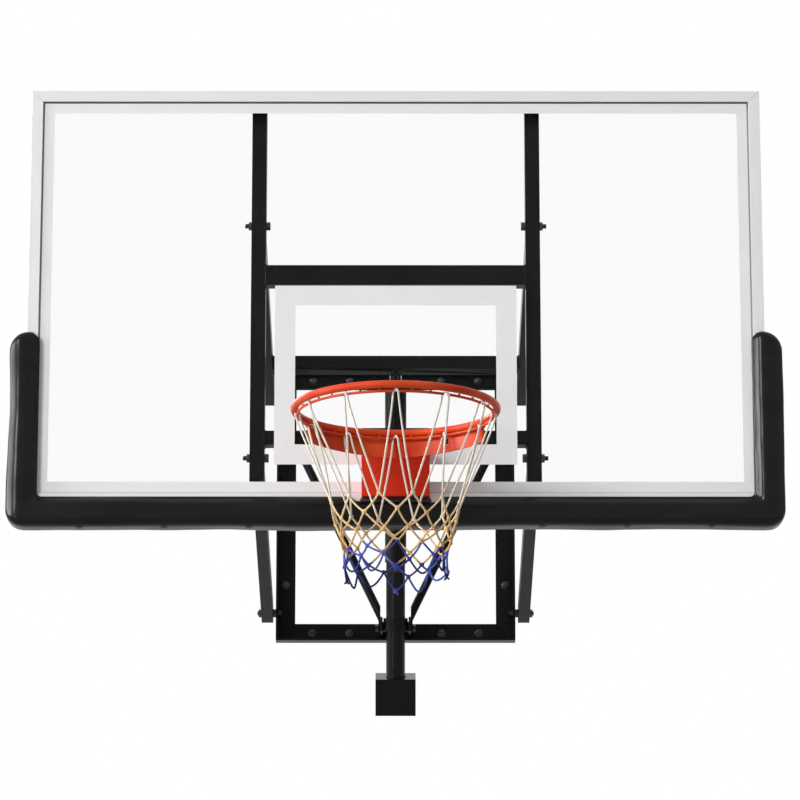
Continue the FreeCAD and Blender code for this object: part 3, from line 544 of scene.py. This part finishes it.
def foamPad():
    pad = mergedCopy("edge_pad", "edge_pad_foam")
    applyModifier(pad, "REMESH", mode="VOXEL", voxel_size=edgePad["voxel"])
    padLow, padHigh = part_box("edge_pad")
    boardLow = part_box("frame_left")[0]
    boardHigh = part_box("frame_right")[1]
    outside = pad.vertex_groups.new(name="outside")
    for vertex in pad.data.vertices:
        spot = vertex.co
        inward = max(abs(spot.x) - boardHigh.x + edgePad["overlap"], boardLow.z + edgePad["lip"] - spot.z)
        outward = padHigh.x - abs(spot.x)
        innerCut = (edgePad["chamfer"] - inward) * edgePad["slope"]
        rimCut = (edgePad["rim"] - outward) * edgePad["rimSlope"]
        cut = max(0.0, innerCut, rimCut)
        spot.y = max(spot.y, min(padLow.y + cut, boardLow.y - edgePad["skin"]))
        past = max(boardLow.x - spot.x, spot.x - boardHigh.x, boardLow.y - spot.y, boardLow.z - spot.z)
        if past > edgePad["skin"]:
            outside.add([vertex.index], 1.0, "REPLACE")
    swell = bpy.data.textures.new("padSwell", "CLOUDS")
    swell.noise_scale = edgePad["rippleLength"]
    applyModifier(pad, "SMOOTH", factor=0.5, iterations=edgePad["rounding"], vertex_group="outside")
    applyModifier(pad, "DISPLACE", texture=swell, texture_coords="GLOBAL", strength=edgePad["ripple"],
                  mid_level=0.5, vertex_group="outside")
    applyModifier(pad, "SMOOTH", factor=0.5, iterations=edgePad["settling"])
    takeUp(pad)
    bpy.ops.object.shade_smooth()
    dress(pad, "black_pad", "board", "edge_pad")
    print("pad softened:", len(pad.data.polygons), "faces")


foamPad()

# Fasteners: each head is drawn once, as stacked steps, and copied to its places

def steppedHead(name, sides, steps):  # steps: (radius, rise) from the seat up
    clearSelection()
    bpy.ops.mesh.primitive_circle_add(vertices=sides, radius=steps[0][0], fill_type="NGON",
                                      location=(0, 0, 0))
    head = bpy.context.object
    head.name = name
    bpy.ops.object.mode_set(mode="EDIT")
    bpy.ops.mesh.select_all(action="SELECT")
    height = 0.0
    for (before, _), (radius, rise) in zip(steps, steps[1:]):
        bpy.ops.mesh.extrude_region_move(TRANSFORM_OT_translate={"value": (0, 0, rise)})
        height += rise
        share = radius / before
        bpy.ops.transform.resize(value=(share, share, 1), center_override=(0, 0, height))
    bpy.ops.mesh.select_all(action="SELECT")
    bpy.ops.mesh.normals_make_consistent(inside=False)
    bpy.ops.object.mode_set(mode="OBJECT")
    return head


def sharedSteps(radius, steps, rise=1.0):  # steps given as shares of a radius and, where it is set, of a rise
    return [(radius * share, rise * up) for share, up in steps]


hexScrews = {"washer": ((1.3, 0), (1.3, 0.16), (1.22, 0.06)), "head": ((1, 0), (1, 0.72), (0.82, 0.10)),
             "headSeat": 0.2, "edge": 0.05}


def hexScrew(name, size):
    washer = steppedHead(name, 24, sharedSteps(size, hexScrews["washer"], size))
    hexHead = steppedHead(name + "_hex", 6, sharedSteps(size, hexScrews["head"], size))
    hexHead.data.transform(Matrix.Translation((0, 0, size * hexScrews["headSeat"])))
    takeUp(washer)
    hexHead.select_set(True)
    bpy.ops.object.join()
    applyModifier(washer, "BEVEL", width=size * hexScrews["edge"], segments=2, limit_method="ANGLE",
                  angle_limit=math.radians(30))
    return washer


def scatter(name, head, places, slot, body):  # copies of one head, joined; each place is (seat, direction)
    copies = []
    for seat, direction in places:
        copy = head.copy()
        copy.data = head.data.copy()
        bpy.context.scene.collection.objects.link(copy)
        turn = Vector(direction).to_track_quat("Z", "Y").to_matrix().to_4x4()
        copy.data.transform(Matrix.Translation(seat) @ turn)
        copies.append(copy)
    bpy.data.objects.remove(head)
    takeUp(copies[0])
    for copy in copies:
        copy.select_set(True)
    if len(copies) > 1:
        bpy.ops.object.join()
    copies[0].name = name
    smoothShade(copies[0], 30)
    return dress(copies[0], slot, body)


def faceAhead(node, x, z, beside=0.0, way=1):  # where x and z meet a node, from the front (1) or behind (-1)
    bpy.context.view_layer.update()
    shown = bpy.data.objects[node + "_eased"]
    start = Vector((x + beside, -modelling["outside"] * way, z))
    found, spot, _, _ = shown.ray_cast(start, Vector((0, way, 0)))
    return Vector((x, spot.y, z)) if found else None


wallScrews = {"size": 0.0082, "railSpots": (0.220, 0.122), "legHeight": 0.215, "holeEdge": 0.0085,
              "inset": 0.025}


def wallScrewPlaces():
    places = []
    for node in ("wall_top_rail", "wall_bottom_rail"):
        low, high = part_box(node)
        height = low.z + wallScrews["inset"] if node == "wall_bottom_rail" else high.z - wallScrews["inset"]
        for across in wallScrews["railSpots"]:
            for side in (-1, 1):
                places.append((faceAhead(node, side * across, height, wallScrews["holeEdge"]), (0, -1, 0)))
    for node, side in (("left_wall_leg", -1), ("right_wall_leg", 1)):
        low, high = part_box(node)
        across = side * (max(abs(low.x), abs(high.x)) - wallScrews["inset"])
        for height in (-wallScrews["legHeight"], wallScrews["legHeight"]):
            places.append((faceAhead(node, across, height, wallScrews["holeEdge"]), (0, -1, 0)))
    return [place for place in places if place[0]]


wallScrew = hexScrew("wallScrew", wallScrews["size"])
scatter("wall_screws", wallScrew, wallScrewPlaces(), "dark_bolts", "wall_frame")

jointOf = {joint["name"]: joint for joint in frame["record"]["behaviour"]["joints"]}
jackUp = Vector(jointOf["jack_slide"]["axis"]).normalized()
jackUp = jackUp if jackUp.z > 0 else -jackUp
jackOut = Vector((1, 0, 0)).cross(jackUp).normalized()  # out of the drive box's cover
jackOut = jackOut if jackOut.y < 0 else -jackOut


def jackSpan(node, way):  # how far a tilted node reaches along one of the jack's own directions
    reach = [way.dot(vertex.co) for vertex in nodes[node].data.vertices]
    return min(reach), max(reach)


coverScrews = {"radius": 0.0030, "inset": 0.009,
               "steps": ((1, 0), (1, 0.0007), (0.8, 0.0008), (0.42, 0.0004), (0.40, -0.0010))}


def coverScrewPlaces():
    low, high = jackSpan("drive_cover", jackUp)
    face = jackSpan("drive_cover", jackOut)[1]
    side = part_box("drive_cover")[1].x - coverScrews["inset"]
    places = []
    for x in (-side, side):
        for up in (low + coverScrews["inset"], high - coverScrews["inset"]):
            places.append((Vector((x, 0, 0)) + jackOut * face + jackUp * up, jackOut))
    return places


coverScrew = steppedHead("coverScrew", 16, sharedSteps(coverScrews["radius"], coverScrews["steps"]))
scatter("cover_screws", coverScrew, coverScrewPlaces(), "black_steel", "jack_body")

studTips = {"radius": 0.0060, "thread": 0.0014, "turns": {"wall_pivot_bolts": 2, "board_pivot_bolts": 6},
            "ridge": ((1, 0.3), (0.86, 0.3), (0.86, 0.1), (1, 0.3)), "point": (0.8, 0.4)}


def studTip(turns):  # the bolt's threaded end, standing past its nut
    steps = ((1, 0), *studTips["ridge"] * turns, studTips["point"])
    return steppedHead("studTip", 16, sharedSteps(studTips["radius"], steps, studTips["thread"]))


def threadedEnds(node, body, pivots):
    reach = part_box(node)[1].x
    ends = [(Vector((side * reach, pivot.y, pivot.z)), (side, 0, 0)) for side in (-1, 1) for pivot in pivots]
    scatter(node + "_tips", studTip(studTips["turns"][node]), ends, "dark_bolts", body)


wallTop = Vector(jointOf["raise_and_lower"]["pos_m"])
wallLow = Vector(jointOf["lower_arm_pivot"]["pos_m"])
boardTop = Vector(jointOf["board_pivot"]["pos_m"])
threadedEnds("wall_pivot_bolts", "wall_frame", (wallTop, wallLow))
threadedEnds("board_pivot_bolts", "board", (boardTop, wallLow + boardTop - wallTop))

frameScrews = {"size": 0.0065, "inset": 0.016, "spread": 0.011}


def frameScrewPlaces():  # what holds the board's frame to the uprights, inside the channels
    places = []
    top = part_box("frame_top")[1].z - frameScrews["inset"]
    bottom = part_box("frame_bottom")[0].z + frameScrews["inset"]
    for node in ("left_upright", "right_upright"):
        low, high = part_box(node)
        for height in (top, bottom):
            for side in (-1, 1):
                spot = faceAhead(node, (low.x + high.x) / 2 + side * frameScrews["spread"], height, way=-1)
                places.append((spot, (0, 1, 0)))
    return [place for place in places if place[0]]


frameScrew = hexScrew("frameScrew", frameScrews["size"])
scatter("frame_screws", frameScrew, frameScrewPlaces(), "dark_bolts", "board")

padCups = {"rim": 0.0095, "spots": (0.354, 0.559, 0.763), "back": 0.026, "sink": 0.0015,
           "steps": ((1, 0), (1, 0.0016), (0.86, 0.0008), (0.5, -0.0014), (0.46, -0.0012), (0.30, 0.0008),
                     (0.24, -0.0010))}


def padCupPlaces():  # cup washers of the screws that hold the pad, on its underside
    bpy.context.view_layer.update()
    foam = bpy.data.objects["edge_pad_foam"]
    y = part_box("edge_pad")[0].y + padCups["back"]
    places = []
    for across in padCups["spots"]:
        for side in (-1, 1):
            below = Vector((side * across, y, -modelling["outside"]))
            _, spot, normal, _ = foam.ray_cast(below, Vector((0, 0, 1)))
            places.append((spot - normal * padCups["sink"], normal))
    return places


padCup = steppedHead("padCup", 20, sharedSteps(padCups["rim"], padCups["steps"]))
scatter("pad_cups", padCup, padCupPlaces(), "black_steel", "board")
print("fasteners set")

# Welds: rippled beads round the ends of the bars and round the jack tube's foot

weldBeads = {"thickness": 0.0026, "step": 0.0026, "ripple": 0.24, "lift": 0.0006}


def outerLine(spots):  # the outer line round flat points, as corners in order
    def half(points):
        line = []
        for spot in points:
            while len(line) > 1 and ((line[-1][0] - line[-2][0]) * (spot[1] - line[-2][1])
                                     - (line[-1][1] - line[-2][1]) * (spot[0] - line[-2][0])) <= 0:
                line.pop()
            line.append(spot)
        return line[:-1]

    ordered = sorted(set(spots))
    return half(ordered) + half(ordered[::-1])


def barEndBead(node, side):
    low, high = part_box(node)
    end = high.x if side > 0 else low.x
    section = [(round(vertex.co.y, 5), round(vertex.co.z, 5)) for vertex in nodes[node].data.vertices
               if abs(vertex.co.x - end) < weldBeads["lift"]]
    corners = [Vector((end - side * weldBeads["lift"], y, z)) for y, z in outerLine(section)]
    path = []
    for start, stop in zip(corners, corners[1:] + corners[:1]):
        steps = max(1, round((stop - start).length / weldBeads["step"]))
        path += [start.lerp(stop, step / steps) for step in range(steps)]
    return path


def jackFootBead():  # round the tube, on the slope of the drive box's roof
    spots = [(jackOut.dot(vertex.co), jackUp.dot(vertex.co)) for vertex in nodes["drive_box"].data.vertices]
    front = max(out for out, up in spots)
    back = min(out for out, up in spots)
    frontTop = max(up for out, up in spots if out > front - weldBeads["lift"])
    backTop = max(up for out, up in spots if out < back + weldBeads["lift"])
    near, far = jackSpan("jack_tube", jackOut)
    middle, radius = (near + far) / 2, (far - near) / 2
    count = round(2 * math.pi * radius / weldBeads["step"])
    path = []
    for number in range(count):
        turn = 2 * math.pi * number / count
        out = middle + radius * math.cos(turn)
        up = frontTop + (backTop - frontTop) * (front - out) / (front - back)
        path.append(Vector((radius * math.sin(turn), 0, 0)) + jackOut * out + jackUp * up)
    return path


def weld(name, paths, body):
    bead = cordCurve(name, paths, weldBeads["thickness"], True, weldBeads["ripple"])
    dress(bead, "black_steel", body)


barEnds = [(node, side) for node in ("upper_cross_bar", "lower_cross_bar") for side in (-1, 1)]
weld("cross_bar_welds", [barEndBead(*end) for end in barEnds], "board")
weld("lift_tube_welds", [barEndBead("lift_tube", side) for side in (-1, 1)], "upper_arms")
weld("jack_foot_weld", [jackFootBead()], "jack_body")
print("welds run")

# Apron: a rubber flap that closes the pad's notch under the ring's mount

ringApron = {"thickness": 0.004, "drop": 0.020, "side": 0.004, "corner": 0.006, "edge": 0.001}


def rubberApron():
    plateLow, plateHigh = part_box("ring_back_plate")
    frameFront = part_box("frame_bottom")[0].y
    clearSelection()
    bpy.ops.mesh.primitive_plane_add(size=1, location=(0, 0, 0))
    apron = bpy.context.object
    apron.name = "ring_apron"
    width = plateHigh.x - plateLow.x + 2 * ringApron["side"]
    bpy.ops.object.mode_set(mode="EDIT")
    bpy.ops.transform.resize(value=(width, ringApron["drop"], 1), center_override=(0, 0, 0))
    bpy.ops.mesh.bevel(offset=ringApron["corner"], segments=4, affect="VERTICES")
    bpy.ops.mesh.extrude_region_move(TRANSFORM_OT_translate={"value": (0, 0, ringApron["thickness"])})
    bpy.ops.mesh.select_all(action="SELECT")
    bpy.ops.mesh.normals_make_consistent(inside=False)
    bpy.ops.object.mode_set(mode="OBJECT")
    place = Vector((0, frameFront, plateLow.z - ringApron["drop"] / 2))
    apron.data.transform(Matrix.Translation(place) @ Matrix.Rotation(math.radians(90), 4, "X"))
    applyModifier(apron, "BEVEL", width=ringApron["edge"], segments=2, limit_method="ANGLE",
                  angle_limit=math.radians(modelling["edgeAngle"]))
    smoothShade(apron)
    dress(apron, "black_rubber", "board")


rubberApron()
print("apron fitted")

# Stage: floor, light and camera

studio = {"ringHeight": 3.05, "floorSize": 120.0, "floorTone": 0.45, "floorGlow": 0.40, "farGlow": 0.80,
          "ambient": 0.39}
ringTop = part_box("ring")[1].z


def directRays(tree):  # 1 where the camera sees straight, by a reflection or through glass
    path = tree.nodes.new("ShaderNodeLightPath")
    kinds = ("Is Camera Ray", "Is Glossy Ray", "Is Transmission Ray")
    straight, glossy, through = [Flow(tree, path.outputs[kind]) for kind in kinds]
    return (straight + glossy + through) > 0.5


def paleFloor():
    clearSelection()
    level = ringTop - studio["ringHeight"]
    bpy.ops.mesh.primitive_plane_add(size=studio["floorSize"], location=(0, 0, level))
    floor = bpy.context.object
    floor.name = "paleFloor"
    finish = Finish("paleFloor")
    behind = finish.node("NewGeometry", output="Backfacing")
    clear = finish.node("BsdfTransparent")
    tone, glow, farGlow = studio["floorTone"], studio["floorGlow"], studio["farGlow"]
    spot = finish.node("TexCoord", output="Object")
    away = finish.node("VectorMath", {"operation": "LENGTH"}, {0: spot}, "Value")
    share = finish.ramp(away * (2 / studio["floorSize"]), [(0.2, (0, 0, 0)), (0.7, (1, 1, 1))])
    shine = finish.blend(share, (glow, glow, glow, 1), (farGlow, farGlow, farGlow, 1))
    finish.set(Base_Color=(tone, tone, tone, 1), Roughness=0.7, Emission_Strength=1.0,
               Emission_Color=finish.blend(directRays(finish.tree), (0, 0, 0, 1), shine))
    seen = Flow(finish.tree, finish.shader.outputs[0])
    finish.feed(finish.tree.nodes["Material Output"].inputs["Surface"],
                finish.node("MixShader", sockets={0: behind, 1: seen, 2: clear}))
    floor.data.materials.append(finish.material)


def whiteWorld():
    world = bpy.data.worlds.new("whiteWorld")
    bpy.context.scene.world = world
    world.use_nodes = True
    tree = world.node_tree
    strength = directRays(tree) * (1 - studio["ambient"]) + studio["ambient"]
    tree.nodes["Background"].inputs["Color"].default_value = (1, 1, 1, 1)
    tree.links.new(strength.socket, tree.nodes["Background"].inputs["Strength"])


lamps = {
    "keyLamp": {"place": (-20.0, -20.0, 10.5), "size": 7.6, "power": 4400.0, "aim": (0, -0.9, 0.2)},
    "sideLamp": {"place": (-11.0, -3.0, 2.0), "size": 4.0, "power": 95.0, "spread": 50.0},
    "fillLamp": {"place": (-8.0, -11.0, -2.4), "size": 1.2, "power": 11.0, "spread": 50.0},
    "backLamp": {"place": (-7.0, 10.0, 6.0), "size": 5.0, "power": 700.0},
}


def softLamp(name, place, size, power, aim=(0, -0.9, 0.0), spread=180.0):
    clearSelection()
    bpy.ops.object.light_add(type="AREA", location=place)
    lamp = bpy.context.object
    lamp.name = name
    lamp.data.size = size
    lamp.data.energy = power
    lamp.data.spread = math.radians(spread)
    lamp.visible_camera = False
    lamp.rotation_euler = (Vector(aim) - Vector(place)).to_track_quat("-Z", "Y").to_euler()


photoView = {"place": (0.0, -10.7485, -2.4405), "pitch": 14.265, "yaw": -0.062, "roll": 0.003,
             "lens": 186.43, "sensor": 36.0, "farthest": 200.0}


def photoCamera():
    clearSelection()
    bpy.ops.object.camera_add(location=photoView["place"])
    camera = bpy.context.object
    camera.name = "photoCamera"
    turn = Matrix.Rotation(math.radians(photoView["yaw"]), 4, "Z")
    turn = turn @ Matrix.Rotation(math.radians(90 + photoView["pitch"]), 4, "X")
    turn = turn @ Matrix.Rotation(math.radians(photoView["roll"]), 4, "Z")
    camera.matrix_world = Matrix.Translation(Vector(photoView["place"])) @ turn
    camera.data.lens = photoView["lens"]
    camera.data.sensor_width = photoView["sensor"]
    camera.data.clip_end = photoView["farthest"]
    bpy.context.scene.camera = camera


paleFloor()
whiteWorld()
for name, settings in lamps.items():
    softLamp(name, **settings)
photoCamera()
bpy.context.scene.view_settings.view_transform = "Standard"
print("stage set")
